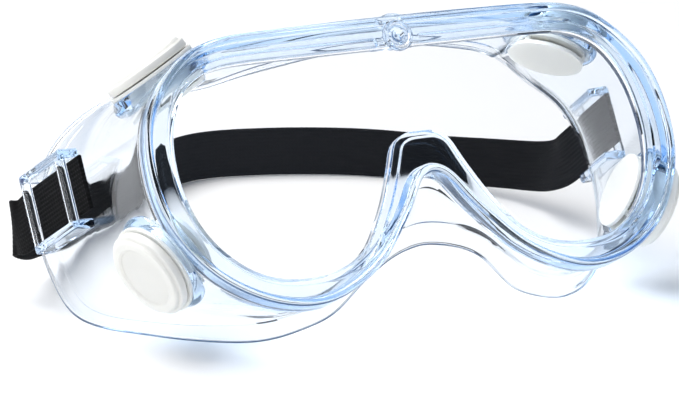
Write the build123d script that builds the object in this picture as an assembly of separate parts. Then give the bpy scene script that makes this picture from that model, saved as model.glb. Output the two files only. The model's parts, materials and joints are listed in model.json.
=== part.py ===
from build123d import *
import os
from math import cos, pi, sin, sqrt

# Chemical splash goggles, standing on a table. All sizes in millimetres.
#
# Everything on the moulding is drawn in the lens frame: X across the face, Y back towards the
# face, Z up along the lens, origin at the middle of the lens front. At the end the goggles are
# leaned back to the attitude in which they stand on a table, with the lens facing -Y.

LENS_LEAN = 30.5          # how far the lens leans back from upright, degrees
LENS_BOW_RADIUS = 850.0   # the lens is a very shallow cylinder, bowed across the face
LENS_THICK = 1.5
LENS_TUCK = 2.5           # how far the lens edge reaches into the groove
GROOVE_GAP = 0.2          # clearance round the edge of the lens

LIP_FRONT = 2.0           # rim in front of the lens
LIP_BACK = 2.0            # rim behind the lens
BEAD_WIDTH = 2.2          # raised bead round the outside of the rim
BEAD_HEIGHT = 1.2
INNER_LIP_WIDTH = 2.0     # second, lower step beside the window
INNER_LIP_DROP = 0.8
WALL = 2.0                # thickness of the soft side walls

# Half of the window opening (x, z), from the middle of the brow to the middle of the nose.
WINDOW = [
    (0, 30.6), (15, 30.6), (30, 30.7), (43.5, 30.8), (51.5, 30.4), (58.3, 28.4), (64.4, 23.4),
    (68.2, 16), (69.8, 8), (69.9, 0), (68.4, -7.8), (65, -15.5), (59.3, -22.3), (51.8, -27),
    (44, -28.7), (37, -28.6), (31, -27.2), (25.6, -24.4), (21.0, -20), (16.9, -13.8), (13, -6.6),
    (10, 0), (7.4, 4.6), (4, 6.3), (0, 6.5),
]

# Half of the side wall: (rim x, rim z, edge x, edge y, edge z, pull). The rim point is on the
# outline of the rim, the edge point on the soft edge that meets the face, and pull is how far
# the wall is drawn in towards the middle before it flares out to that edge.
STATIONS = [
    (0, 38.5, 0, 12.5, 36.0, 0.4), (15, 38.5, 14, 14, 36.0, 0.4), (30, 38.4, 27, 18.5, 35.6, 0.4),
    (43, 38.3, 39.5, 24.5, 35.0, 0.6), (51, 37.8, 47.5, 33, 36.0, 1.0),
    (58.5, 36, 55, 45.5, 40.5, 1.6), (65, 32.3, 64.5, 54, 40.0, 2.0),
    (70.5, 27, 73, 59, 35.5, 2.6), (75, 20.5, 81, 59, 27.5, 3.4), (77.8, 12, 86, 59.5, 16, 4.0),
    (78.6, 3, 87.5, 60, 4, 4.2), (77.8, -5.5, 86.2, 59.5, -7, 4.2),
    (75.2, -13.4, 83, 58, -16.5, 4.2), (71.7, -19.8, 78, 53.5, -22, 4.2),
    (67, -25.6, 72, 47, -26.3, 4.2), (60.7, -30.6, 64.5, 39.5, -31, 4.2),
    (53.3, -34.4, 54.5, 31.3, -35.8, 4.2), (45.5, -36.4, 45, 26.5, -38, 4.0),
    (37.3, -36.2, 35.5, 22, -37.5, 3.8), (28.5, -33, 27, 18.5, -35, 3.4),
    (20.3, -27.7, 20.5, 14.5, -30.2, 3.0), (13.4, -20.5, 14.2, 11, -26, 2.4),
    (7, -12.2, 7.2, 11, -23, 2.0), (3.2, -7, 3.2, 11.2, -22, 2.0), (0, -5.7, 0, 11.5, -21.6, 2.0),
]
WALL_START = 2.4                            # where the wall leaves the rim
WALL_INSET = 0.5                            # step from the rim's outline in to the wall
WALL_STEPS = [(0, 0), (0.3, 0.5), (0.6, 0.95), (0.82, 0.9), (1, 0)]   # (way along wall, pull)

# Round indirect vents: hole centre (x, y, z) and outward direction, on the +X side
VENTS = {
    "upper": ((61.0, 21.5, 35.9), (0.47, -0.10, 0.88)),
    "lower": ((74.0, 18.5, -15.8), (0.87, 0.0, -0.49)),
}
VENT_HOLE_R = 9.2
VENT_PAD_R = 12.0
VENT_PAD_IN = 4.6
VENT_PAD_OUT = 0.8
PRESS_GAP = 0.05          # plug in the hole
SNAP_GAP = 0.08           # cap on the plug's neck
SEAT_GAP = 0.3            # clearance round the flanges of the plug and the head of the stud
PLUG_BORE = 7.4
FLANGE = 0.9              # thickness of the plug's flanges
INNER_FLANGE_R = 10.8
BASE_FLANGE_R = 12.8
NECK_R = 8.4
NECK_TOP = 4.0
SPOKE = 1.2
BAFFLE_R = 10.6
BAFFLE_THICK = 1.0
BAFFLE_GAP = 1.6
BAFFLE_PEG_R = 0.9
BAFFLE_PEG_AT = 9.2
CAP_R = 12.2
CAP_GAP = 0.4             # air gap under the skirt of the cap
CAP_SKIN = 1.1
CAP_TOP = 5.6
CAP_STEP_R = 8.6

# Strap loops moulded on the sides of the frame, on the +X side
LUG_CENTRE = (83.9, 49.5, 13.2)   # middle of the strap channel
LUG_TURN = 7.0                    # follows the flare of the side wall, degrees
LUG_LENGTH = 23.0
LUG_BAR = 3.0                     # width of each bar that crosses the strap
LUG_ARM = 2.6                     # height of the arms above and below the strap
LUG_SKIN = 2.2                    # thickness of the bars and arms outside the strap
LUG_ROOT = 1.6                    # how far the loop is rooted in the side wall
LUG_ROUND = 1.2
SLOT_HIGH = 17.0
SLOT_DEEP = 2.4

# Stud that pins the lens to the middle of the brow
STUD_HEIGHT = 32.7                # above the middle of the lens
POCKET_R = 6.7                    # round swelling of the rim that carries it
STUD_HEAD_R = 4.3
STUD_HEAD_THICK = 1.4
STUD_CUP_R = 3.3
STUD_CUP_DEEP = 0.9
STUD_PIN_R = 1.7
STUD_SHAFT_R = 2.4

STRAP_WIDE = 15.0
STRAP_THICK = 1.2
STRAP_TAIL = 5.0          # end of the strap in front of the loop
HINGE_PAST_LUG = 3.5      # where the free strap starts to swing, behind the loop
HINGE_GAP = 0.3
TAB_LENGTH = 7.0          # flat start of the free strap, behind the hinge line

# Free part of the strap from one side to the other, as seen from above when it lies on the
# table behind the goggles: (x, y, height of the lower edge, outward tilt of the upper edge in
# degrees), lens-frame origin, before the move to the table.
STRAP_ROUTE = [
    (-86.6, 71.5, -33.0, 4), (-83.0, 78.0, -36.0, 10), (-74.0, 87.5, -39.0, 8),
    (-58.0, 104.0, -42.5, 3), (-38.0, 126.0, -45.5, 0), (-16.0, 149.0, -46.6, 0),
    (2.0, 166.0, -46.6, 0), (18.0, 174.5, -46.6, 0), (38.0, 171.5, -46.6, 0),
    (56.0, 163.0, -46.6, 0), (71.0, 151.0, -46.6, 0), (82.0, 133.0, -46.0, 0),
    (88.5, 112.0, -43.5, 0), (91.0, 92.0, -40.5, 4), (89.0, 79.0, -37.0, 4),
]


def bow(x):
    """How far the bowed lens falls back at a distance x from the middle."""
    return LENS_BOW_RADIUS - sqrt(LENS_BOW_RADIUS**2 - x**2)


def flipped(point):
    return Vector(-point.X, point.Y, point.Z)


def ring_edges(half):
    """Smooth closed outline through a half outline that starts and ends on the middle plane."""
    last = len(half) - 1
    points = half + [flipped(p) for p in reversed(half[1:-1])]
    count = len(points)
    cuts = list(range(0, last, 4)) + [last]
    cuts += [count - c for c in reversed(cuts[:-1])]
    edges = []
    for start, end in zip(cuts, cuts[1:]):
        span = [points[i % count] for i in range(start, end + 1)]
        leave = (points[(start + 1) % count] - points[start - 1]).normalized()
        arrive = (points[(end + 1) % count] - points[(end - 1) % count]).normalized()
        edges.append(Edge.make_spline(span, tangents=(leave, arrive)))
    return edges


def side_normal(half, i):
    """Outward normal of a half outline at point i, in the XZ plane."""
    if i in (0, len(half) - 1):
        return Vector(0, 0, 1 if i == 0 else -1)
    along = half[i + 1] - half[i - 1]
    return Vector(-along.Z, 0, along.X).normalized()


def outline(half, offset=0.0):
    """Closed wire in the XZ plane, moved outwards by offset."""
    flat = [Vector(x, 0, z) for x, z in half]
    moved = [p + side_normal(flat, i) * offset for i, p in enumerate(flat)]
    return Wire(ring_edges(moved))


def prism(wire, y0, y1):
    face = Face(wire).moved(Location((0, y0, 0)))
    return Solid.extrude(face, Vector(0, y1 - y0, 0))


def bowed_slab(y0, y1):
    """Slab between two bowed surfaces that cross the middle plane at y0 and y1."""
    place = Location((0, LENS_BOW_RADIUS, -60))
    front = Solid.make_cylinder(LENS_BOW_RADIUS - y0, 120).moved(place)
    return front - Solid.make_cylinder(LENS_BOW_RADIUS - y1, 120).moved(place)


def bowed_plate(wire, y0, y1):
    return prism(wire, y0 - 5, y1 + 10) & bowed_slab(y0, y1)


def rod_y(radius, y0, y1, x=0.0, z=0.0):
    return Solid.make_cylinder(radius, y1 - y0, Plane((x, y0, z), z_dir=(0, 1, 0)))


def wall_points(along, pull):
    """Half ring of the side wall, part of the way from the rim to the soft edge."""
    start = [Vector(s[0], WALL_START + bow(s[0]), s[1]) for s in STATIONS]
    edge = [Vector(s[2], s[3], s[4]) for s in STATIONS]
    ring = []
    for i, station in enumerate(STATIONS):
        root = start[i] - side_normal(start, i) * WALL_INSET
        straight = root + (edge[i] - root) * along
        ring.append(straight - side_normal(edge, i) * station[5] * pull)
    return ring


def inner_points(rings, k):
    """The same half ring on the inside of the wall, one wall thickness away."""
    ring = rings[k]
    ahead = rings[min(k + 1, len(rings) - 1)]
    behind = rings[max(k - 1, 0)]
    inside = []
    for i, point in enumerate(ring):
        around = Vector(0, 1, 0).cross(side_normal(ring, i))
        if 0 < i < len(ring) - 1:
            around = ring[i + 1] - ring[i - 1]
        normal = (ahead[i] - behind[i]).cross(around).normalized()
        inside.append(point + normal * WALL)
    return inside


def bands(ring_a, ring_b):
    return [Face.make_surface_from_curves(a, b) for a, b in zip(ring_a, ring_b)]


def side_wall():
    rings = [wall_points(along, pull) for along, pull in WALL_STEPS]
    outer = [ring_edges(r) for r in rings]
    inner = [ring_edges(inner_points(rings, k)) for k in range(len(rings))]
    faces = bands(outer[0], inner[0]) + bands(outer[-1], inner[-1])
    for k in range(len(rings) - 1):
        faces += bands(outer[k], outer[k + 1])
        faces += bands(inner[k], inner[k + 1])
    return Solid(Shell(faces))


def rim():
    half = [(s[0], s[1]) for s in STATIONS]
    back = LENS_THICK + LIP_BACK
    opening = prism(outline(WINDOW), -20, 20)
    body = bowed_plate(outline(half), -LIP_FRONT - BEAD_HEIGHT, back) - opening
    body -= bowed_plate(outline(half, -BEAD_WIDTH), -LIP_FRONT - 9, -LIP_FRONT)
    step = outline(WINDOW, INNER_LIP_WIDTH)
    body -= bowed_plate(step, -LIP_FRONT - 9, -LIP_FRONT + INNER_LIP_DROP)
    return body + rod_y(POCKET_R, -LIP_FRONT, back, z=STUD_HEIGHT)


def lug_box(x0, x1, y0, y1, half_z, round_off=0.0):
    box = Solid.make_box(x1 - x0, y1 - y0, 2 * half_z).moved(Location((x0, y0, -half_z)))
    if round_off:
        box = box.fillet(round_off, box.edges().filter_by(Axis.X))
    return box.moved(lug_place())


def lug_place():
    return Location(LUG_CENTRE, (0, 0, -LUG_TURN))


def add_lug(body):
    """Strap loop: a block rooted in the wall, with a channel for the strap and an open front."""
    half_slot = SLOT_DEEP / 2
    half_high = SLOT_HIGH / 2
    end = LUG_LENGTH / 2
    outside = half_slot + LUG_SKIN
    block = lug_box(-half_slot - LUG_ROOT, outside, -end, end, half_high + LUG_ARM, LUG_ROUND)
    channel = lug_box(-half_slot, half_slot, -end - 12, end + 12, half_high)
    opening = lug_box(-half_slot, 12, LUG_BAR - end, end - LUG_BAR, half_high)
    return body + block - channel - opening


def vent_plane(name):
    """Plane on the outside of the wall with its normal along the axis of the vent."""
    centre, outward = VENTS[name]
    return Plane(centre, x_dir=(0, 1, 0), z_dir=outward)


def disc(plane, radius, z0, z1):
    return Solid.make_cylinder(radius, z1 - z0, plane.offset(z0))


def tube(plane, radius, bore, z0, z1):
    return disc(plane, radius, z0, z1) - disc(plane, bore, z0 - 1, z1 + 1)


def mirrored_plane(plane):
    origin = (-plane.origin.X, plane.origin.Y, plane.origin.Z)
    normal = (-plane.z_dir.X, plane.z_dir.Y, plane.z_dir.Z)
    return Plane(origin, x_dir=(0, 1, 0), z_dir=normal)


def goggle_frame():
    """One soft moulding: rim, side wall, vent pads, strap loops and the holes in them."""
    body = rim() + side_wall()
    for name in VENTS:
        for plane in (vent_plane(name), mirrored_plane(vent_plane(name))):
            body += disc(plane, VENT_PAD_R, -VENT_PAD_IN, VENT_PAD_OUT)
            body -= disc(plane, VENT_HOLE_R, -VENT_PAD_IN - 3, VENT_PAD_OUT + 6)
            body -= disc(plane, BASE_FLANGE_R + SEAT_GAP, VENT_PAD_OUT, VENT_PAD_OUT + 6)
            body -= disc(plane, INNER_FLANGE_R + SEAT_GAP, -VENT_PAD_IN - 6, -VENT_PAD_IN)
    body = add_lug(body)
    body = add_lug(body.mirror(Plane.YZ)).mirror(Plane.YZ)
    groove = outline(WINDOW, LENS_TUCK + GROOVE_GAP)
    body -= bowed_plate(groove, 0, LENS_THICK)
    body -= rod_y(STUD_HEAD_R + SEAT_GAP, -LIP_FRONT - 5, -LIP_FRONT, z=STUD_HEIGHT)
    return body - rod_y(STUD_SHAFT_R + PRESS_GAP, -LIP_FRONT - 5, 10, z=STUD_HEIGHT)


def lens():
    plate = bowed_plate(outline(WINDOW, LENS_TUCK), 0, LENS_THICK)
    return plate - rod_y(STUD_SHAFT_R + PRESS_GAP, -5, 5, z=STUD_HEIGHT)


def lens_stud():
    """Push-in stud with a cupped head and a small pin in the middle of the cup."""
    seat = -LIP_FRONT
    face = seat - STUD_HEAD_THICK
    head = rod_y(STUD_HEAD_R, face, seat, z=STUD_HEIGHT)
    head -= rod_y(STUD_CUP_R, face - 1, face + STUD_CUP_DEEP, z=STUD_HEIGHT)
    pin = rod_y(STUD_PIN_R, face, seat, z=STUD_HEIGHT)
    shaft = rod_y(STUD_SHAFT_R, seat - 0.4, LENS_THICK + LIP_BACK, z=STUD_HEIGHT)
    return head + pin + shaft


def vent_body(plane):
    """Plug through the wall: inner flange, outer base flange, neck for the cap, cross bars."""
    inside = -VENT_PAD_IN
    plug = tube(plane, VENT_HOLE_R - PRESS_GAP, PLUG_BORE, inside - FLANGE, NECK_TOP)
    plug -= tube(plane, 20, NECK_R, VENT_PAD_OUT + FLANGE, 10)
    plug += tube(plane, INNER_FLANGE_R, PLUG_BORE, inside - FLANGE, inside)
    plug += tube(plane, BASE_FLANGE_R, PLUG_BORE, VENT_PAD_OUT, VENT_PAD_OUT + FLANGE)
    for turn in (0, 90):
        bar = Solid.make_box(2 * PLUG_BORE + 1, SPOKE, 1.4)
        bar = bar.moved(Location((-PLUG_BORE - 0.5, -SPOKE / 2, -0.7)))
        plug += bar.moved(plane.location * Location((0, 0, 0), (0, 0, turn)))
    return plug


def vent_baffle(plane):
    """Splash disc on three pegs, inside the goggles, that hides the hole from a straight jet."""
    top = -VENT_PAD_IN - FLANGE
    low = top - BAFFLE_GAP
    plate = disc(plane, BAFFLE_R, low - BAFFLE_THICK, low)
    for i in range(3):
        spot = Location((BAFFLE_PEG_AT, 0, 0))
        peg = Solid.make_cylinder(BAFFLE_PEG_R, BAFFLE_GAP + 0.3)
        around = Location((0, 0, low - 0.3), (0, 0, 120 * i))
        plate += peg.moved(plane.location * around * spot)
    return plate


def vent_cap(plane):
    """Round cover with a stepped, dished top and a socket that snaps on the neck."""
    skirt = VENT_PAD_OUT + FLANGE + CAP_GAP
    shell = disc(plane, CAP_R, skirt, CAP_TOP)
    shell = shell.fillet(1.4, [e for e in shell.edges() if on_top(e, plane, CAP_TOP)])
    shell -= disc(plane, CAP_R - CAP_SKIN, skirt - 1, CAP_TOP - CAP_SKIN)
    shell += tube(plane, NECK_R + SNAP_GAP + CAP_SKIN, NECK_R + SNAP_GAP, skirt, CAP_TOP - 0.5)
    shell -= disc(plane, CAP_STEP_R, CAP_TOP - 0.5, CAP_TOP + 1)
    return shell


def on_top(edge, plane, height):
    away = (edge.center() - plane.origin).dot(plane.z_dir)
    return abs(away - height) < 0.01


def strap_tab(y0, y1):
    """Flat piece of strap lying in the channel of a loop, from y0 to y1 along the channel."""
    half_thick = STRAP_THICK / 2
    box = Solid.make_box(STRAP_THICK, y1 - y0, STRAP_WIDE)
    return box.moved(Location((-half_thick, y0, -STRAP_WIDE / 2)))


def hinge_at():
    return LUG_LENGTH / 2 + HINGE_PAST_LUG


def hinge_point():
    """Where the strap's swing axis crosses the middle of the +X strap."""
    return (lug_place() * Location((0, hinge_at(), 0))).position


def strap_end():
    tab = strap_tab(-LUG_LENGTH / 2 - STRAP_TAIL, hinge_at()).moved(lug_place())
    knuckle = Solid.make_cylinder(
        STRAP_WIDE / 2 + HINGE_GAP, 20, Plane(hinge_point() - Vector(10, 0, 0), z_dir=(1, 0, 0))
    )
    return tab - knuckle


def loop_start():
    """Rounded start of the free strap on the +X side."""
    place = lug_place() * Location((0, hinge_at(), 0))
    across = Plane((-STRAP_THICK / 2, 0, 0), z_dir=(1, 0, 0))
    round_end = Solid.make_cylinder(STRAP_WIDE / 2, STRAP_THICK, across)
    return (round_end + strap_tab(0, TAB_LENGTH)).moved(place)


def strap_section(middle, along, upright):
    """Cross-section of the strap at a point of its route."""
    through = along.cross(upright).normalized()
    rise = through.cross(along).normalized()
    half_w = rise * (STRAP_WIDE / 2)
    half_t = through * (STRAP_THICK / 2)
    corners = [half_w + half_t, half_w - half_t, half_w * -1 - half_t, half_t - half_w]
    return Wire.make_polygon([middle + c for c in corners], close=True)


def tab_end(side):
    """Middle, direction and upright of the free strap where its flat start ends, leaned back."""
    place = lug_place() * Location((0, hinge_at() + TAB_LENGTH, 0))
    frame = leaned_back() * place
    middle = frame.position
    along = (frame * Location((0, 1, 0))).position - middle
    upright = (frame * Location((0, 0, 1))).position - middle
    if side == "left":
        return flipped(middle), flipped(along), flipped(upright)
    return middle, along, upright


def strap_loop():
    """Both rounded starts, and the free strap that runs round behind the goggles."""
    start, leave, start_up = tab_end("left")
    finish, arrive, finish_up = tab_end("right")
    points = [start]
    uprights = [start_up]
    for x, y, low, tilt in STRAP_ROUTE:
        tilt = tilt * pi / 180
        side = 1 if x > 0 else -1
        uprights.append(Vector(side * sin(tilt), 0, cos(tilt)))
        points.append(Vector(x, y, low + STRAP_WIDE / 2 * cos(tilt)))
    points.append(finish)
    uprights.append(finish_up)
    sections = []
    for i, middle in enumerate(points):
        along = points[min(i + 1, len(points) - 1)] - points[max(i - 1, 0)]
        if i == 0:
            along = leave
        elif i == len(points) - 1:
            along = arrive * -1
        sections.append(strap_section(middle, along.normalized(), uprights[i]))
    band = Solid.make_loft(sections, ruled=True)
    right_start = loop_start().moved(leaned_back())
    print("strap route", round(sum((b - a).length for a, b in zip(points, points[1:]))), "mm")
    return band + right_start + right_start.mirror(Plane.YZ)


def leaned_back():
    return Location((0, 0, 0), (-LENS_LEAN, 0, 0))


def build():
    """All the nodes, leaned back as they stand, with the lens-frame origin still at zero."""
    nodes = {"goggle_frame": goggle_frame(), "lens": lens(), "lens_stud": lens_stud()}
    for name in VENTS:
        for side, plane in (("right", vent_plane(name)), ("left", mirrored_plane(vent_plane(name)))):
            nodes[f"vent_body_{name}_{side}"] = vent_body(plane)
            nodes[f"vent_baffle_{name}_{side}"] = vent_baffle(plane)
            nodes[f"vent_cap_{name}_{side}"] = vent_cap(plane)
    nodes["strap_end_right"] = strap_end()
    nodes["strap_end_left"] = strap_end().mirror(Plane.YZ)
    nodes = {name: shape.moved(leaned_back()) for name, shape in nodes.items()}
    nodes["strap_loop"] = strap_loop()
    return nodes


def main():
    os.makedirs("parts", exist_ok=True)
    nodes = build()
    box = Compound(list(nodes.values())).bounding_box()
    to_table = Location((-box.center().X, -box.center().Y, -box.min.Z))
    for name, shape in nodes.items():
        export_step(shape.moved(to_table), f"parts/{name}.step")
    print("lens middle", to_table.position)
    print("strap hinge", (to_table * leaned_back() * Location(hinge_point())).position)
    print("size", box.size)
    for name in VENTS:
        plane = vent_plane(name)
        turned = leaned_back() * Location(plane.z_dir)
        print("vent axis", name, turned.position)


main()
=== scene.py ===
import json
from itertools import product
from math import cos, pi, radians, sin

import bmesh
import bpy
import numpy as np
from mathutils import Matrix, Vector


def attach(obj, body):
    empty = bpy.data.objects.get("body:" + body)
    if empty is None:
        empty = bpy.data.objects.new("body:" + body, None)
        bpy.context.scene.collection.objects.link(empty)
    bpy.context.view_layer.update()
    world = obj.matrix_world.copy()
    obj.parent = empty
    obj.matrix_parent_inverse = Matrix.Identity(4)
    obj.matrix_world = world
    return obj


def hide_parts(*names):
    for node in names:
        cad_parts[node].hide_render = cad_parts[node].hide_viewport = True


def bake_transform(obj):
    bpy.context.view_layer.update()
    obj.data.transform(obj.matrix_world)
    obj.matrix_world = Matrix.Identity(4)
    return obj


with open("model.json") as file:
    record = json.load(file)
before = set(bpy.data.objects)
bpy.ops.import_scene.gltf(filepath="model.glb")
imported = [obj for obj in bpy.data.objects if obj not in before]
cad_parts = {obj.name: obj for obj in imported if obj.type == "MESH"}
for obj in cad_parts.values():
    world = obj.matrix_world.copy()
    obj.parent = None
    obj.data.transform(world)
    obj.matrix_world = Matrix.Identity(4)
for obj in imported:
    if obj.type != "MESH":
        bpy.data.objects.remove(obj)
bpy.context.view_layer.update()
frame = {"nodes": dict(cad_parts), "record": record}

# Chemical splash goggles. The clear moulding, the lens, the brow stud and the vent caps are
# built in millimetres in the lens frame (X across the face, Y back towards the face, Z up along
# the lens, origin at the middle of the lens front), then leaned back and scaled to metres. The
# strap is built in millimetres from the same origin, in level axes.

MM = 0.001
AROUND = 400                            # points round each ring of the moulding
SMOOTH = 35.0                           # edges sharper than this many degrees stay sharp
STRAP_SMOOTH = 60.0
LENS_LEAN = radians(30.5)
FACE_SEAL_AT = Vector((0, 40, 4))       # the face_seal mount, in the lens frame
LENS_BOW_RADIUS = 850.0
LENS_THICK = 1.5
LENS_GAP = 0.04                         # from the window's edge to the lens
WALL = 2.0                              # thickness of the side wall
WALL_INSET = 0.5
WALL_ROOT = 2.4
STUD_HEIGHT = 32.7

# Half of the window opening (x, z), from the middle of the brow to the middle of the nose.
WINDOW = [
    (0, 30.6), (15, 30.6), (30, 30.7), (43.5, 30.8), (51.5, 30.4), (58.3, 28.4), (64.4, 23.4),
    (68.2, 16), (69.8, 8), (69.9, 0), (68.4, -7.8), (65, -15.5), (59.3, -22.3), (51.8, -27),
    (44, -28.7), (37, -28.6), (31, -27.2), (25.6, -24.4), (21.0, -20), (16.9, -13.8), (13, -6.6),
    (10, 0), (7.4, 4.6), (4, 6.3), (0, 6.5),
]

# Half of the side wall: (rim x, rim z, edge x, edge y, edge z, pull towards the middle)
STATIONS = [
    (0, 38.5, 0, 12.5, 36.0, 0.4), (15, 38.5, 14, 14, 36.0, 0.4), (30, 38.4, 27, 18.5, 35.6, 0.4),
    (43, 38.3, 39.5, 24.5, 35.0, 0.6), (51, 37.8, 47.5, 33, 36.0, 1.0),
    (58.5, 36, 55, 45.5, 40.5, 1.6), (65, 32.3, 64.5, 54, 40.0, 2.0),
    (70.5, 27, 73, 59, 35.5, 2.6), (75, 20.5, 81, 59, 27.5, 3.4), (77.8, 12, 86, 59.5, 16, 4.0),
    (78.6, 3, 87.5, 60, 4, 4.2), (77.8, -5.5, 86.2, 59.5, -7, 4.2),
    (75.2, -13.4, 83, 58, -16.5, 4.2), (71.7, -19.8, 78, 53.5, -22, 4.2),
    (67, -25.6, 72, 47, -26.3, 4.2), (60.7, -30.6, 64.5, 39.5, -31, 4.2),
    (53.3, -34.4, 54.5, 31.3, -35.8, 4.2), (45.5, -36.4, 45, 26.5, -38, 4.0),
    (37.3, -36.2, 35.5, 22, -37.5, 3.8), (28.5, -33, 27, 18.5, -35, 3.4),
    (20.3, -27.7, 20.5, 14.5, -30.2, 3.0), (13.4, -20.5, 14.2, 11, -26, 2.4),
    (7, -12.2, 7.2, 11, -23, 2.0), (3.2, -7, 3.2, 11.2, -22, 2.0), (0, -5.7, 0, 11.5, -21.6, 2.0),
]
# Station of the wall, counted from 0 with fractions, that each window point lies beside
WINDOW_BESIDE = [
    0, 1, 2, 3.03, 4.1, 5.35, 6.9, 8.2, 9.35, 10.45, 11.6, 13.0, 14.4, 15.75, 17.05, 18.1, 18.95,
    19.75, 20.6, 21.35, 22.05, 22.6, 23.05, 23.5, 24,
]
WALL_PULL = [(0, 0), (0.3, 0.5), (0.6, 0.95), (0.82, 0.9), (1, 0)]   # (way along the wall, share)

# Cross-section of the rim, front to back. Window parts are (outward from the window, y) and rim
# parts are (inward from the outside of the rim, y).
WINDOW_FRONT = [
    (0, 0), (0, -0.44), (0, -0.5), (0.05, -0.85), (0.2, -1.1), (0.5, -1.2), (1.0, -1.2),
    (1.5, -1.2), (1.8, -1.25), (1.95, -1.4), (2.05, -1.7), (2.25, -1.93), (2.55, -2.0), (2.8, -2.0),
]
RIM_FLAT = [(2.9, -2.0), (2.65, -2.0), (2.45, -2.02), (2.25, -2.12)]
RIM_SIDE = [(0, -1.2), (0, 0.5), (0, 2.0), (0.03, 2.9), (0.15, 3.3), (0.4, 3.5)]
RIM_BACK = [(2.55, 4.0), (2.75, 3.65), (3.1, 3.5)]
WINDOW_BACK = [
    (2.4, 3.5), (0.8, 3.5), (0.3, 3.4), (0.06, 3.15), (0, 2.75), (0, 2.68), (0, LENS_THICK),
]
BEAD_HALF = 1.12                        # half the width of the bead on the rim
BEAD_HIGH = 1.25
BEAD_FOOT = -2.0
BEAD_START = 0.93                       # share of the half turn that the bead covers
BEAD_STEPS = 10

# Soft edge of the wall: how far it reaches back, the step at its lip as (way to the tip, depth),
# and its rounded end as (past the tip, depth)
LIP_LONG = 4.4
LIP_SHARE = 0.45
WALL_STEPS = 12
LIP = [(0.03, 0.12), (0.08, 0.5), (0.3, 0.6), (0.5, 0.6), (0.65, 0.55), (0.78, 0.35), (0.86, 0.12)]
EDGE_ROLL = [
    (-0.5, 0.15), (-0.15, 0.35), (0.05, 0.75), (0.1, 1.1), (0.0, 1.45), (-0.25, 1.75), (-0.5, 1.9),
]

VENTS = {
    "upper": (Vector((61.0, 21.5, 35.9)), Vector((0.47, -0.10, 0.88)).normalized()),
    "lower": (Vector((74.0, 18.5, -15.8)), Vector((0.87, 0.0, -0.49)).normalized()),
}
SIDES = {"right": 1, "left": -1}
# Profiles are (radius, height) with each corner's own rounding third
VENT_PAD = [(0, -4.6, 0), (12.0, -4.6, 0.5), (14.5, -2.4, 1.5), (12.7, 0.8, 0.5), (0, 0.8, 0)]
VENT_HOLES = [("hole", 9.2, -9, 9), ("seat", 13.1, 0.8, 6), ("inner", 11.1, -9, -4.6)]
STUD_POCKET = [(0, -2.0, 0), (6.7, -2.0, 0.5), (6.7, 3.5, 0.3), (0, 3.5, 0)]
STUD_HOLES = [("stud_seat", 4.6, -8, -2.0), ("stud_hole", 2.45, -9, 9)]
PROFILE_ROUND = 0.5

# Strap loop on the wall, with Y along the strap
LUG_CENTRE = Vector((83.9, 49.5, 13.2))
LUG_TURN = radians(7)
LUG_END = 11.5            # half the length of the strap loop
LUG_ROUND = 0.8
LUG_BARS = [((1.15, low, -10.6), (3.45, low + 3.0, 10.6)) for low in (-LUG_END, LUG_END - 3.0)]
LUG_ARMS = [((-3.2, -LUG_END, low), (3.4, LUG_END, low + 2.6)) for low in (8.5, -11.1)]
LUG_CHANNEL = ((-1.2, -24, -8.5), (1.2, 24, 8.5))

STRAP_WIDE = 15.0
STRAP_THICK = 1.2
STRAP_TAIL = 5.0
HINGE = 15.0              # from the middle of the loop to the strap's swing axis
TAB_END = 22.0
STRAP_STOPS = [-LUG_END - STRAP_TAIL, -LUG_END, -5, 3, LUG_END, HINGE, TAB_END]
BEND_BEFORE = 3.0         # the strap bends from here before its swing axis
BEND_AFTER = 4.0          # to here after it
STRAP_STEP = 0.75
STRAP_RIBS = 24
FLUTTER = 0.006           # share of the width that the knit's rows swell by
FLUTTER_LONG = 1.5
WEAVE_SCALE = 0.01        # texture coordinates of the strap for each millimetre
KNIT_LONG = 1.1           # millimetres from one row of the knit to the next
KNIT_WIDE = 1.15
# Free strap round the back: (x, y, height of the lower edge, outward tilt in degrees), level
# axes with the lens middle as origin
STRAP_ROUTE = [
    (-86.6, 71.5, -33.0, 4), (-83.0, 78.0, -36.0, 10), (-74.0, 87.5, -39.0, 8),
    (-58.0, 104.0, -42.5, 3), (-38.0, 126.0, -45.5, 0), (-16.0, 149.0, -46.6, 0),
    (2.0, 166.0, -46.6, 0), (18.0, 174.5, -46.6, 0), (38.0, 171.5, -46.6, 0),
    (56.0, 163.0, -46.6, 0), (71.0, 151.0, -46.6, 0), (82.0, 133.0, -46.0, 0),
    (88.5, 112.0, -43.5, 0), (91.0, 92.0, -40.5, 4), (89.0, 79.0, -37.0, 4),
]

LEAN = Matrix.Rotation(-LENS_LEAN, 4, "X")
seal = next(m for m in frame["record"]["mounts"] if m["name"] == "face_seal")
LENS_MIDDLE = Vector(seal["pos_m"]) - LEAN.to_3x3() @ FACE_SEAL_AT * MM
PLACE = Matrix.Translation(LENS_MIDDLE) @ LEAN @ Matrix.Scale(MM, 4)


# ---------------------------------------------------------------- curves and meshes

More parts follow.
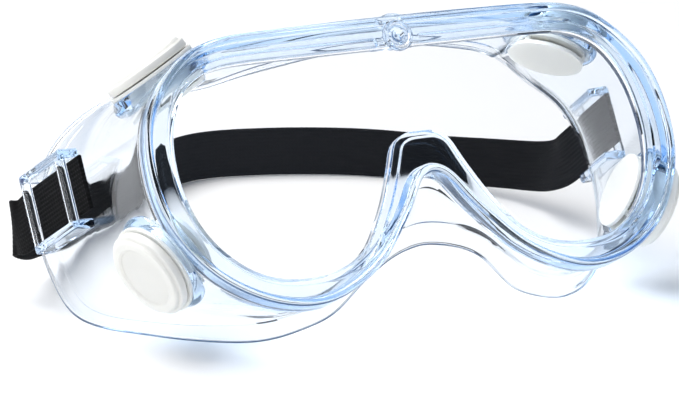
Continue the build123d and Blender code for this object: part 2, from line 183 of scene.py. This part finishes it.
def spline(knots, values, at, period=None):
    """Cubic spline through values at knots, natural at its ends or closed over a period."""
    knots = np.asarray(knots, float)
    values = np.asarray(values, float)
    if period is not None:
        at = np.mod(at, period)
        knots = np.append(knots, period)
        values = np.vstack([values, values[:1]])
    last = len(knots) - 1
    step = np.diff(knots)
    slope = np.diff(values, axis=0) / step[:, None]
    a = np.eye(last + 1)
    b = np.zeros_like(values)
    for i in range(1, last):
        a[i, i - 1:i + 2] = step[i - 1], 2 * (step[i - 1] + step[i]), step[i]
        b[i] = 6 * (slope[i] - slope[i - 1])
    if period is not None:
        a[0, last] = -1
        a[last, 0] = 2 * step[0]
        a[last, 1] = step[0]
        a[last, last - 1] = step[-1]
        a[last, last] = 2 * step[-1]
        b[last] = 6 * (slope[0] - slope[-1])
    bend = np.linalg.solve(a, b)
    k = np.clip(np.searchsorted(knots, at, side="right") - 1, 0, last - 1)
    h = step[k][:, None]
    p = (np.asarray(at) - knots[k])[:, None] / h
    q = 1 - p
    line = values[k] * q + values[k + 1] * p
    return line + h**2 / 6 * ((q**3 - q) * bend[k] + (p**3 - p) * bend[k + 1])


def unit(vectors):
    return vectors / np.linalg.norm(vectors, axis=1)[:, None]


def mesh_object(name, points, faces, smooth=SMOOTH):
    mesh = bpy.data.meshes.new(name)
    mesh.from_pydata([tuple(p) for p in points], [], [tuple(f) for f in faces])
    mesh.validate()
    mesh.update()
    mesh.shade_smooth()
    mesh.set_sharp_from_angle(angle=radians(smooth))
    obj = bpy.data.objects.new(name, mesh)
    bpy.context.scene.collection.objects.link(obj)
    return obj


def grid_faces(rows, columns, wrap_rows=False):
    """Quads between rows of points, each row closed on itself."""
    faces = []
    for r in range(rows if wrap_rows else rows - 1):
        for c in range(columns):
            r2 = (r + 1) % rows
            c2 = (c + 1) % columns
            faces.append((r * columns + c, r * columns + c2, r2 * columns + c2, r2 * columns + c))
    return faces


def tube_faces(rows, columns):
    """The same with a face over each end."""
    ends = [tuple(range(columns)), tuple(range(rows * columns - 1, (rows - 1) * columns - 1, -1))]
    return grid_faces(rows, columns) + ends


def lathe(name, profile, origin, axis, count=72):
    """Profile of (radius, height) turned round an axis; it starts and ends on the axis."""
    turn = Vector((0, 0, 1)).rotation_difference(axis).to_matrix()
    points = []
    rings = []
    for radius, height in profile:
        if radius == 0:
            rings.append([len(points)] * count)
            points.append(origin + turn @ Vector((0, 0, height)))
            continue
        rings.append(list(range(len(points), len(points) + count)))
        for i in range(count):
            angle = 2 * pi * i / count
            spot = Vector((radius * cos(angle), radius * sin(angle), height))
            points.append(origin + turn @ spot)
    faces = []
    for a, b in zip(rings, rings[1:]):
        for i in range(count):
            j = (i + 1) % count
            faces.append(tuple(dict.fromkeys([a[i], a[j], b[j], b[i]])))
    obj = mesh_object(name, points, faces)
    outward(obj)
    return obj


def cylinder(name, radius, low, high, origin, axis):
    return lathe(name, [(0, low), (radius, low), (radius, high), (0, high)], origin, axis)


def rounded(corners, radius):
    """Closed profile with each corner rounded; a corner may give its own radius third."""
    steps = 4
    out = []
    count = len(corners)
    for i, corner in enumerate(corners):
        here = Vector(corner[:2])
        before = Vector(corners[i - 1][:2]) - here
        after = Vector(corners[(i + 1) % count][:2]) - here
        size = corner[2] if len(corner) > 2 else radius
        size = min(size, before.length * 0.48, after.length * 0.48)
        if size < 0.02:
            out.append(tuple(here))
            continue
        start = here + before.normalized() * size
        finish = here + after.normalized() * size
        for k in range(steps + 1):
            t = k / steps
            out.append(tuple(start * (1 - t)**2 + here * 2 * t * (1 - t) + finish * t**2))
    return out


def box_piece(name, low, high, place, radius):
    """Box with rounded edges, between two corners in the axes of place."""
    mesh = bpy.data.meshes.new(name)
    points = list(product(*zip(low, high)))
    faces = [(0, 1, 3, 2), (4, 6, 7, 5), (0, 4, 5, 1), (2, 3, 7, 6), (0, 2, 6, 4), (1, 5, 7, 3)]
    mesh.from_pydata([tuple(place @ Vector(p)) for p in points], [], faces)
    obj = bpy.data.objects.new(name, mesh)
    bpy.context.scene.collection.objects.link(obj)
    if radius:
        bevel = obj.modifiers.new("round", "BEVEL")
        bevel.width = radius
        bevel.segments = 4
        bevel.limit_method = "NONE"
        settle(obj)
    outward(obj)
    return obj


def settle(obj):
    """Replace an object's mesh by the result of its modifiers."""
    bpy.context.view_layer.update()
    graph = bpy.context.evaluated_depsgraph_get()
    result = bpy.data.meshes.new_from_object(obj.evaluated_get(graph))
    obj.modifiers.clear()
    old = obj.data
    obj.data = result
    bpy.data.meshes.remove(old)


def combine(obj, tools, operation):
    for tool in tools:
        cut = obj.modifiers.new(operation, "BOOLEAN")
        cut.operation = operation
        cut.solver = "MANIFOLD"
        cut.object = tool
    settle(obj)
    for tool in tools:
        bpy.data.objects.remove(tool)


def outward(obj):
    """Make the faces of a closed mesh point out."""
    bm = bmesh.new()
    bm.from_mesh(obj.data)
    bmesh.ops.recalc_face_normals(bm, faces=bm.faces)
    bm.to_mesh(obj.data)
    bm.free()


# ---------------------------------------------------------------- the clear moulding

def bow(x):
    return LENS_BOW_RADIUS - np.sqrt(LENS_BOW_RADIUS**2 - np.asarray(x)**2)


def closed_ring(half, signs):
    """Whole outline from its half; signs flips the sideways coordinates of the other half."""
    half = np.array(half, float)
    return np.vstack([half, half[-2:0:-1] * np.array(signs)])


def flat_normals(ring):
    """Outward direction at each point of a ring, as its x parts and its z parts."""
    x = ring[:, 0]
    z = ring[:, 1]
    along_x = np.roll(x, -1) - np.roll(x, 1)
    along_z = np.roll(z, -1) - np.roll(z, 1)
    size = np.hypot(along_x, along_z)
    return -along_z / size, along_x / size


def set_out(ring, normals, out, y):
    """Ring moved outward from an outline, at y from the bowed front of the lens."""
    x = ring[:, 0] + normals[0] * out
    return np.stack([x, y + bow(x), ring[:, 1] + normals[1] * out], axis=1)


def outlines():
    """Rim, soft edge and window, sampled at the same AROUND places round the frame."""
    stations = closed_ring(STATIONS, (-1, 1, -1, 1, 1, 1))
    window = closed_ring(WINDOW, (-1, 1))
    middle = (stations[:, (0, 1)] + stations[:, (2, 4)]) / 2
    gaps = np.linalg.norm(np.roll(middle, -1, axis=0) - middle, axis=1)
    knots = np.concatenate([[0], np.cumsum(gaps)[:-1]])
    period = gaps.sum()
    half = np.interp(WINDOW_BESIDE, range(len(STATIONS)), knots[:len(STATIONS)])
    window_knots = np.concatenate([half, period - half[-2:0:-1]])
    fine = np.linspace(0, period, 4001)
    travel = np.zeros(len(fine) - 1)
    for ring, ring_knots in ((stations[:, 0:2], knots), (window, window_knots)):
        travel += np.linalg.norm(np.diff(spline(ring_knots, ring, fine, period), axis=0), axis=1)
    travel = np.concatenate([[0], np.cumsum(travel)])
    at = np.interp(np.arange(AROUND) * travel[-1] / AROUND, travel, fine)
    return spline(knots, stations, at, period), spline(window_knots, window, at, period)


def wall_profile(share):
    knots = [p[0] for p in WALL_PULL]
    return spline(knots, [[p[1]] for p in WALL_PULL], np.clip(share, 0, 1))[:, 0]


class Wall:
    """Outer face of the side wall, from its root on the rim (share 0) to its edge (share 1)."""

    def __init__(self, root, edge, pull):
        self.root = root
        self.edge = edge
        self.pull = pull
        nx, nz = flat_normals(edge[:, (0, 2)])
        self.out = np.stack([nx, np.zeros(AROUND), nz], axis=1)

    def at(self, share):
        straight = self.root + (self.edge - self.root) * share[:, None]
        return straight - self.out * (self.pull * wall_profile(share))[:, None]

    def normal(self, share):
        step = 0.01
        along = self.at(np.clip(share + step, 0, 1)) - self.at(np.clip(share - step, 0, 1))
        here = self.at(share)
        around = np.roll(here, -1, axis=0) - np.roll(here, 1, axis=0)
        return unit(np.cross(along, around))

    def row(self, share, depth):
        return self.at(share) + self.normal(share) * depth

    def rows(self):
        """Up the outer face, over the lip and the soft edge, and down the inner face."""
        length = np.linalg.norm(self.edge - self.root, axis=1)
        start = 1.3 / np.maximum(self.edge[:, 1] - self.root[:, 1], 1.0)
        lip = 1 - np.minimum(LIP_LONG, length * LIP_SHARE) / length
        shares = [start + (lip - start) * k / WALL_STEPS for k in range(WALL_STEPS + 1)]
        near = [lip + (1 - lip) * way for way, _ in LIP]
        tip = np.ones(AROUND)
        beyond = unit(self.at(tip) - self.at(tip - 0.01))
        normal = self.normal(tip)
        rows = [self.row(share, 0.0) for share in shares]
        rows += [self.row(share, depth) for share, (_, depth) in zip(near, LIP)]
        rows += [self.at(tip) + beyond * out + normal * depth for out, depth in EDGE_ROLL]
        rows += [self.row(share, WALL) for share in reversed(near[::2])]
        rows += [self.row(share, WALL) for share in reversed(shares[1:])]
        return rows


def bead():
    """Round bead along the outside of the rim, as (inward, y)."""
    angles = [pi * (BEAD_START - BEAD_START * k / BEAD_STEPS) for k in range(BEAD_STEPS + 1)]
    return [(BEAD_HALF - BEAD_HALF * cos(a), BEAD_FOOT - BEAD_HIGH * sin(a)) for a in angles]


def moulding_rows():
    """Rows of the closed cross-section of the frame, each a ring of AROUND points."""
    stations, window = outlines()
    rim = stations[:, 0:2]
    rim_out = flat_normals(rim)
    window_out = flat_normals(window)
    front = [set_out(window, window_out, out, y) for out, y in WINDOW_FRONT]
    front += [set_out(rim, rim_out, -inward, y) for inward, y in RIM_FLAT + bead() + RIM_SIDE]
    root = set_out(rim, rim_out, -WALL_INSET, WALL_ROOT)
    wall = Wall(root, stations[:, 2:5], stations[:, 5])
    back = [set_out(rim, rim_out, -inward, y) for inward, y in RIM_BACK]
    back += [set_out(window, window_out, out, y) for out, y in WINDOW_BACK]
    return front + wall.rows() + back


def lug_place(side):
    turn = Matrix.Rotation(-LUG_TURN, 4, "Z")
    place = Matrix.Translation(LUG_CENTRE) @ turn
    return place if side > 0 else Matrix.Scale(-1, 4, (1, 0, 0)) @ place


def mirrored(vector, side):
    return Vector((vector.x * side, vector.y, vector.z))


def lug_pieces(side):
    place = lug_place(side)
    pieces = [box_piece("bar", low, high, place, LUG_ROUND) for low, high in LUG_BARS]
    pieces += [box_piece("arm", low, high, place, LUG_ROUND) for low, high in LUG_ARMS]
    return pieces


def vent_pieces():
    """Pads under the vents, and the holes through them."""
    adds = []
    holes = []
    for centre, axis in VENTS.values():
        for side in SIDES.values():
            spot = mirrored(centre, side)
            way = mirrored(axis, side)
            adds.append(lathe("pad", rounded(VENT_PAD, PROFILE_ROUND), spot, way))
            holes += [cylinder(*hole, spot, way) for hole in VENT_HOLES]
    return adds, holes


def stud_pieces():
    """Swelling of the rim round the stud, open to the window, and the stud's holes."""
    stud_at = Vector((0, 0, STUD_HEIGHT))
    back = Vector((0, 1, 0))
    swelling = lathe("pocket", rounded(STUD_POCKET, PROFILE_ROUND), stud_at, back)
    combine(swelling, [window_prism("opening", 0)], "DIFFERENCE")
    return [swelling], [cylinder(*hole, stud_at, back) for hole in STUD_HOLES]


def frame_moulding():
    rows = moulding_rows()
    faces = grid_faces(len(rows), AROUND, wrap_rows=True)
    moulding = mesh_object("frame_skin", np.vstack(rows), faces)
    outward(moulding)
    adds, holes = vent_pieces()
    for side in SIDES.values():
        adds += lug_pieces(side)
        holes.append(box_piece("channel", *LUG_CHANNEL, lug_place(side), 0))
    stud_adds, stud_holes = stud_pieces()
    combine(moulding, adds + stud_adds, "UNION")
    combine(moulding, holes + stud_holes, "DIFFERENCE")
    return moulding


def window_prism(name, inset):
    """Straight prism in the outline of the window, drawn in by inset all round."""
    _, window = outlines()
    nx, nz = flat_normals(window)
    x = window[:, 0] - nx * inset
    z = window[:, 1] - nz * inset
    rows = [np.stack([x, np.full(AROUND, y), z], axis=1) for y in (-8.0, 12.0)]
    prism = mesh_object(name, np.vstack(rows), tube_faces(2, AROUND))
    outward(prism)
    return prism


def lens_pane():
    """The bowed lens, cut to the window."""
    half_wide = 75
    half_high = 40
    front = [(x, bow(x)) for x in np.linspace(-half_wide, half_wide, 101)]
    section = front + [(x, y + LENS_THICK) for x, y in reversed(front)]
    points = [(x, y, z) for z in (-half_high, half_high) for x, y in section]
    count = len(section)
    faces = grid_faces(2, count)
    for first in (0, count):
        faces += [(first + i, first + i + 1, first + count - 2 - i, first + count - 1 - i)
                  for i in range(count // 2 - 1)]
    pane = mesh_object("lens_pane", points, faces)
    outward(pane)
    combine(pane, [window_prism("cutter", LENS_GAP)], "INTERSECT")
    return pane


def finish_piece(obj, material):
    """Move a piece from the lens frame in mm to its place in metres, and give it its finish."""
    obj.data.transform(PLACE)
    obj.data.shade_smooth()
    obj.data.set_sharp_from_angle(angle=radians(SMOOTH))
    weigh = obj.modifiers.new("normals", "WEIGHTED_NORMAL")
    weigh.keep_sharp = True
    settle(obj)
    obj.data.materials.clear()
    obj.data.materials.append(material)
    return obj


# ---------------------------------------------------------------- vents and stud

def cap_profile():
    """Stepped, dished cap, hollow below, with a socket for the neck of the plug."""
    return rounded([
        (0, 5.0, 0), (8.3, 5.0, 0.3), (8.8, 5.6, 0.4), (10.9, 5.6, 0.7), (11.3, 4.5, 0.35),
        (12.2, 4.2, 0.4), (12.2, 2.1, 0.3), (11.1, 2.1, 0.2), (11.0, 4.0, 0.3), (9.7, 4.4, 0.2),
        (9.6, 2.1, 0.2), (8.5, 2.1, 0.2), (8.5, 3.9, 0.2), (0, 3.9, 0)], 0.2)


def stud_profile():
    """Head with a cupped face and a small pin in it, and the shaft through the lens."""
    return rounded([
        (0, -3.45, 0), (1.7, -3.45, 0.35), (1.8, -2.5, 0.2), (3.1, -2.5, 0.25), (3.3, -3.4, 0.3),
        (4.3, -3.4, 0.5), (4.3, -2.05, 0.15), (2.4, -2.05, 0.1), (2.4, 3.5, 0.4), (0, 3.5, 0)], 0.2)


# ---------------------------------------------------------------- strap

def level_to_metres(point):
    return LENS_MIDDLE + Vector(point) * MM


def channel_point(side, along):
    """Point of the strap's middle line in a loop, and its direction, in level axes, mm."""
    place = LEAN @ lug_place(side)
    here = place @ Vector((0, along, 0))
    way = (place @ Vector((0, along + 1, 0))) - here
    return here, way


def strap_line():
    """Middle line and upright direction of the strap, from one tail to the other."""
    upright = LEAN.to_3x3() @ Vector((0, 0, 1))
    points = [channel_point(-1, stop)[0] for stop in STRAP_STOPS]
    uprights = [upright] * len(points)
    for x, y, low, tilt in STRAP_ROUTE:
        tilt = radians(tilt)
        side = 1 if x > 0 else -1
        points.append(Vector((x, y, low + STRAP_WIDE / 2 * cos(tilt))))
        uprights.append(Vector((side * sin(tilt), 0, cos(tilt))))
    points += [channel_point(1, stop)[0] for stop in reversed(STRAP_STOPS)]
    uprights += [upright] * len(STRAP_STOPS)
    return points, uprights


def strap_path():
    """Points along the strap, its width and thickness directions there, and the way run."""
    points, uprights = strap_line()
    gaps = [(b - a).length for a, b in zip(points, points[1:])]
    knots = np.concatenate([[0], np.cumsum(gaps)])
    at = np.linspace(0, knots[-1], int(knots[-1] / STRAP_STEP))
    line = spline(knots, [tuple(p) for p in points], at)
    rise = spline(knots, [tuple(u) for u in uprights], at)
    steps = np.linalg.norm(np.diff(line, axis=0), axis=1)
    run = np.concatenate([[0], np.cumsum(steps)])
    along = unit(np.gradient(line, axis=0))
    through = unit(np.cross(along, rise))
    return line, np.cross(through, along), through, run


def strap_section():
    """Cross-section (along the width, through the thickness) with fine ribs and round edges."""
    half_w = STRAP_WIDE / 2
    half_t = STRAP_THICK / 2
    rib_depth = 0.05
    face = []
    for k in range(STRAP_RIBS + 1):
        v = (half_w - 0.35) * (2 * k / STRAP_RIBS - 1)
        face.append((v, half_t - (rib_depth if k % 2 else 0.0)))
    top = [(v, t) for v, t in reversed(face)]
    low = [(v, -t) for v, t in face]
    end = [(-half_w + 0.08, 0.35), (-half_w, 0.0), (-half_w + 0.08, -0.35)]
    other = [(half_w - 0.08, -0.35), (half_w, 0.0), (half_w - 0.08, 0.35)]
    return top + end + low + other


def strap_mesh():
    line, rise, through, run = strap_path()
    section = strap_section()
    verts = []
    coords = []
    for i, way in enumerate(run):
        swell = 1 + FLUTTER * sin(way * 2 * pi / FLUTTER_LONG)
        for v, t in section:
            verts.append(line[i] + rise[i] * v * swell + through[i] * t)
            coords.append((way, v))
    obj = mesh_object("strap", verts, tube_faces(len(run), len(section)), STRAP_SMOOTH)
    uv = obj.data.uv_layers.new(name="weave")
    index = np.zeros(len(obj.data.loops), dtype=int)
    obj.data.loops.foreach_get("vertex_index", index)
    flat = np.array(coords)[index] * WEAVE_SCALE
    uv.data.foreach_set("uv", flat.ravel())
    outward(obj)
    return obj, run[-1]


# ---------------------------------------------------------------- materials

def material(name):
    mat = bpy.data.materials.new(name)
    mat.use_nodes = True
    nodes = mat.node_tree.nodes
    shader = next(n for n in nodes if n.type == "BSDF_PRINCIPLED")
    output = next(n for n in nodes if n.type == "OUTPUT_MATERIAL")
    return mat, mat.node_tree, shader, output


def math_node(tree, operation, first, second=None):
    node = tree.nodes.new("ShaderNodeMath")
    node.operation = operation
    for socket, value in zip(node.inputs, (first, second)):
        if isinstance(value, (int, float)):
            socket.default_value = value
        elif value is not None:
            tree.links.new(value, socket)
    return node.outputs[0]


def noise(tree, scale, detail):
    texture = tree.nodes.new("ShaderNodeTexNoise")
    texture.inputs["Scale"].default_value = scale
    texture.inputs["Detail"].default_value = detail
    coords = tree.nodes.new("ShaderNodeTexCoord")
    tree.links.new(coords.outputs["Object"], texture.inputs["Vector"])
    return texture.outputs["Fac"]


def ramp(tree, factor, low, high):
    """Map a texture's value to a range of numbers."""
    fit = tree.nodes.new("ShaderNodeMapRange")
    fit.inputs["From Min"].default_value = 0.3
    fit.inputs["From Max"].default_value = 0.7
    fit.inputs["To Min"].default_value = low
    fit.inputs["To Max"].default_value = high
    tree.links.new(factor, fit.inputs["Value"])
    return fit.outputs["Result"]


def blend_colours(tree, factor, first, second):
    mix = tree.nodes.new("ShaderNodeMix")
    mix.data_type = "RGBA"
    mix.inputs["A"].default_value = (*first, 1)
    mix.inputs["B"].default_value = (*second, 1)
    tree.links.new(factor, mix.inputs["Factor"])
    return mix.outputs["Result"]


def bump(tree, shader, height, distance):
    node = tree.nodes.new("ShaderNodeBump")
    node.inputs["Strength"].default_value = 1.0
    node.inputs["Distance"].default_value = distance
    tree.links.new(height, node.inputs["Height"])
    tree.links.new(node.outputs["Normal"], shader.inputs["Normal"])


def let_lamps_through(tree, shader, output, tint):
    """Clear plastic passes lamp light, and lets out rays that are caught inside it."""
    path = tree.nodes.new("ShaderNodeLightPath")
    clear = tree.nodes.new("ShaderNodeBsdfTransparent")
    clear.inputs["Color"].default_value = (*tint, 1)
    caught = math_node(tree, "GREATER_THAN", path.outputs["Glossy Depth"], 2.5)
    deep = math_node(tree, "GREATER_THAN", path.outputs["Ray Depth"], 9.5)
    caught = math_node(tree, "MAXIMUM", caught, deep)
    factor = math_node(tree, "MAXIMUM", path.outputs["Is Shadow Ray"], caught)
    mix = tree.nodes.new("ShaderNodeMixShader")
    tree.links.new(factor, mix.inputs["Fac"])
    tree.links.new(shader.outputs["BSDF"], mix.inputs[1])
    tree.links.new(clear.outputs["BSDF"], mix.inputs[2])
    tree.links.new(mix.outputs["Shader"], output.inputs["Surface"])


def clear_plastic(name, tint, rough, wave, lamp_tint):
    mat, tree, shader, output = material(name)
    shader.inputs["Transmission Weight"].default_value = 1.0
    shader.inputs["IOR"].default_value = 1.5
    shader.inputs["Specular IOR Level"].default_value = 0.15
    cloud = noise(tree, scale=55.0, detail=2.0)
    tree.links.new(blend_colours(tree, cloud, *tint), shader.inputs["Base Color"])
    smudge = noise(tree, scale=140.0, detail=4.0)
    tree.links.new(ramp(tree, smudge, *rough), shader.inputs["Roughness"])
    bump(tree, shader, noise(tree, scale=90.0, detail=1.0), wave)
    let_lamps_through(tree, shader, output, lamp_tint)
    return mat


def tint_by_depth(mat, colour, density):
    """Clear material that takes on a colour where it is thick."""
    tree = mat.node_tree
    output = next(n for n in tree.nodes if n.type == "OUTPUT_MATERIAL")
    deep = tree.nodes.new("ShaderNodeVolumeAbsorption")
    deep.inputs["Color"].default_value = (*colour, 1)
    deep.inputs["Density"].default_value = density
    tree.links.new(deep.outputs["Volume"], output.inputs["Volume"])


def milky_plastic():
    mat, tree, shader, _ = material("vent_white")
    shader.inputs["Subsurface Weight"].default_value = 0.6
    shader.inputs["Subsurface Scale"].default_value = 0.004
    shader.inputs["Subsurface Radius"].default_value = (1.0, 1.0, 1.0)
    shader.inputs["Coat Weight"].default_value = 0.1
    cloud = noise(tree, scale=120.0, detail=3.0)
    white = blend_colours(tree, cloud, (0.84, 0.82, 0.74), (0.9, 0.88, 0.81))
    tree.links.new(white, shader.inputs["Base Color"])
    smudge = noise(tree, scale=300.0, detail=3.0)
    tree.links.new(ramp(tree, smudge, 0.32, 0.48), shader.inputs["Roughness"])
    bump(tree, shader, noise(tree, scale=900.0, detail=2.0), 0.00004)
    return mat


def woven_elastic():
    mat, tree, shader, _ = material("strap_black")
    shader.inputs["Sheen Weight"].default_value = 0.01
    shader.inputs["Sheen Roughness"].default_value = 0.5
    shader.inputs["Specular IOR Level"].default_value = 0.06
    uv = tree.nodes.new("ShaderNodeUVMap")
    uv.uv_map = "weave"
    parts = tree.nodes.new("ShaderNodeSeparateXYZ")
    tree.links.new(uv.outputs["UV"], parts.inputs["Vector"])
    run = math_node(tree, "MULTIPLY", parts.outputs["X"], 2 * pi / WEAVE_SCALE / KNIT_LONG)
    rib = math_node(tree, "MULTIPLY", parts.outputs["Y"], 2 * pi / WEAVE_SCALE / KNIT_WIDE)
    knit = math_node(tree, "MULTIPLY", math_node(tree, "SINE", run), math_node(tree, "SINE", rib))
    rows = math_node(tree, "COSINE", rib)
    height = math_node(tree, "ADD", math_node(tree, "MULTIPLY", knit, 0.6), rows)
    fuzz = noise(tree, scale=2500.0, detail=2.0)
    height = math_node(tree, "ADD", height, math_node(tree, "MULTIPLY", fuzz, 0.8))
    bump(tree, shader, height, 0.00006)
    # Painted highlight: the raised stitches of the knit pattern are coloured lighter than the
    # near-black yarn, standing in for light catching the stitch tops
    painted_stitch_highlight = ramp(tree, math_node(tree, "MULTIPLY_ADD", knit, 0.25), 0.0, 1.0)
    colour = blend_colours(tree, painted_stitch_highlight, (0.002, 0.002, 0.0022), (0.009, 0.009, 0.0095))
    tree.links.new(colour, shader.inputs["Base Color"])
    tree.links.new(ramp(tree, fuzz, 0.62, 0.85), shader.inputs["Roughness"])
    return mat


def floor_white():
    mat, tree, shader, _ = material("studio_floor")
    shader.inputs["Specular IOR Level"].default_value = 0.2
    paper = noise(tree, scale=3.0, detail=2.0)
    white = blend_colours(tree, paper, (0.9, 0.9, 0.9), (0.92, 0.92, 0.92))
    tree.links.new(white, shader.inputs["Base Color"])
    tree.links.new(ramp(tree, paper, 0.6, 0.7), shader.inputs["Roughness"])
    return mat


# ---------------------------------------------------------------- build

clear_pvc = clear_plastic(
    "clear_pvc", tint=((0.95, 0.97, 1.0), (0.98, 0.99, 1.0)), rough=(0.0, 0.06),
    wave=0.00004, lamp_tint=(0.93, 0.95, 0.98))
tint_by_depth(clear_pvc, colour=(0.4, 0.7, 0.98), density=42.0)
clear_lens = clear_plastic(
    "clear_polycarbonate", tint=((0.99, 0.99, 0.99), (1.0, 1.0, 1.0)), rough=(0.0, 0.015),
    wave=0.000004, lamp_tint=(0.98, 0.985, 0.99))
vent_white = milky_plastic()
strap_black = woven_elastic()

skin = finish_piece(frame_moulding(), clear_pvc)
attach(skin, "frame")
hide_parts("goggle_frame")

pane = finish_piece(lens_pane(), clear_lens)
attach(pane, "frame")
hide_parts("lens")

stud = lathe("brow_stud", stud_profile(), Vector((0, 0, STUD_HEIGHT)), Vector((0, 1, 0)), 64)
finish_piece(stud, clear_pvc)
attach(stud, "frame")
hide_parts("lens_stud")

for height_name, (centre, axis) in VENTS.items():
    for side_name, side in SIDES.items():
        tag = f"{height_name}_{side_name}"
        for kind in ("body", "baffle"):
            frame["nodes"][f"vent_{kind}_{tag}"].material_slots[0].material = vent_white
        spot = mirrored(centre, side)
        cap = lathe(f"cap_{tag}_shell", cap_profile(), spot, mirrored(axis, side), 96)
        finish_piece(cap, vent_white)
        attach(cap, f"cap_{tag}")
        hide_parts(f"vent_cap_{tag}")

strap, strap_length = strap_mesh()
strap.data.transform(Matrix.Translation(LENS_MIDDLE) @ Matrix.Scale(MM, 4))
strap.data.materials.append(strap_black)
hinge_at, hinge_way = channel_point(1, HINGE)
swing_start = level_to_metres(hinge_at - hinge_way * BEND_BEFORE)
swing_end = level_to_metres(hinge_at + hinge_way * BEND_AFTER)
swing_start.x = LENS_MIDDLE.x
swing_end.x = LENS_MIDDLE.x
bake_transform(strap)
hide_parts("strap_loop", "strap_end_left", "strap_end_right")

# ---------------------------------------------------------------- floor, light, camera

FLOOR_CORNERS = [(-4, -3, 0), (4, -3, 0), (4, 6, 0), (-4, 6, 0)]
floor = mesh_object("floor", FLOOR_CORNERS, [(0, 1, 2, 3)])
floor.data.materials.append(floor_white())


def soft_box(name, at, size, watts, tint):
    light = bpy.data.lights.new(name, "AREA")
    light.shape = "RECTANGLE"
    light.size = size[0]
    light.size_y = size[1]
    light.energy = watts
    light.color = tint
    obj = bpy.data.objects.new(name, light)
    obj.location = at
    target = Vector((0, 0, 0.03))
    obj.rotation_euler = (target - Vector(at)).to_track_quat("-Z", "Y").to_euler()
    bpy.context.scene.collection.objects.link(obj)


soft_box("key", at=(-0.5, 0.5, 1.5), size=(1.6, 1.2), watts=32.0, tint=(1.0, 0.985, 0.96))
soft_box("fill", at=(-1.2, -0.5, 1.0), size=(0.9, 0.9), watts=8.0, tint=(1.0, 1.0, 1.0))


# Brightness of the surroundings by height, as (sine of the height, colour): white at floor
# level, a navy band that the clear rim picks up, dark above it and pale grey overhead
SURROUNDINGS = [
    (0.0, (1.0, 1.0, 1.0)), (0.1, (0.95, 0.96, 0.98)), (0.22, (0.03, 0.13, 0.3)),
    (0.42, (0.015, 0.06, 0.15)), (0.6, (0.02, 0.03, 0.05)), (0.78, (0.25, 0.28, 0.34)),
    (1.0, (0.7, 0.72, 0.75)),
]


def studio_world():
    world = bpy.data.worlds.new("studio")
    bpy.context.scene.world = world
    world.use_nodes = True
    tree = world.node_tree
    back = next(n for n in tree.nodes if n.type == "BACKGROUND")
    coords = tree.nodes.new("ShaderNodeTexCoord")
    parts = tree.nodes.new("ShaderNodeSeparateXYZ")
    tree.links.new(coords.outputs["Generated"], parts.inputs["Vector"])
    steps = tree.nodes.new("ShaderNodeValToRGB")
    tree.links.new(parts.outputs["Z"], steps.inputs["Fac"])
    stops = steps.color_ramp.elements
    for stop, (height, colour) in zip((stops[0], stops[1]), (SURROUNDINGS[0], SURROUNDINGS[-1])):
        stop.position = height
        stop.color = (*colour, 1)
    for height, colour in SURROUNDINGS[1:-1]:
        stops.new(height).color = (*colour, 1)
    tree.links.new(steps.outputs["Color"], back.inputs["Color"])
    back.inputs["Strength"].default_value = 1.0


studio_world()
bpy.context.scene.view_settings.view_transform = "Standard"

# The camera stands to the left of the lens and above it, and looks at it from a metre away
TURN = radians(28.2)
RAISE = radians(14.0)
DISTANCE = 1.0
STEP_LEFT = 0.0222
STEP_DOWN = 0.0129
right = Vector((cos(TURN), -sin(TURN), 0))
towards = Vector((-sin(TURN) * cos(RAISE), -cos(TURN) * cos(RAISE), sin(RAISE)))
up = towards.cross(right)
camera_data = bpy.data.cameras.new("camera")
camera_data.sensor_width = 36.0
camera_data.lens = 201.0
camera_data.clip_end = 20.0
camera = bpy.data.objects.new("camera", camera_data)
camera.matrix_world = Matrix((
    (right.x, up.x, towards.x, 0), (right.y, up.y, towards.y, 0), (right.z, up.z, towards.z, 0),
    (0, 0, 0, 1)))
camera.location = LENS_MIDDLE - right * STEP_LEFT - up * STEP_DOWN + towards * DISTANCE
bpy.context.scene.collection.objects.link(camera)
bpy.context.scene.camera = camera
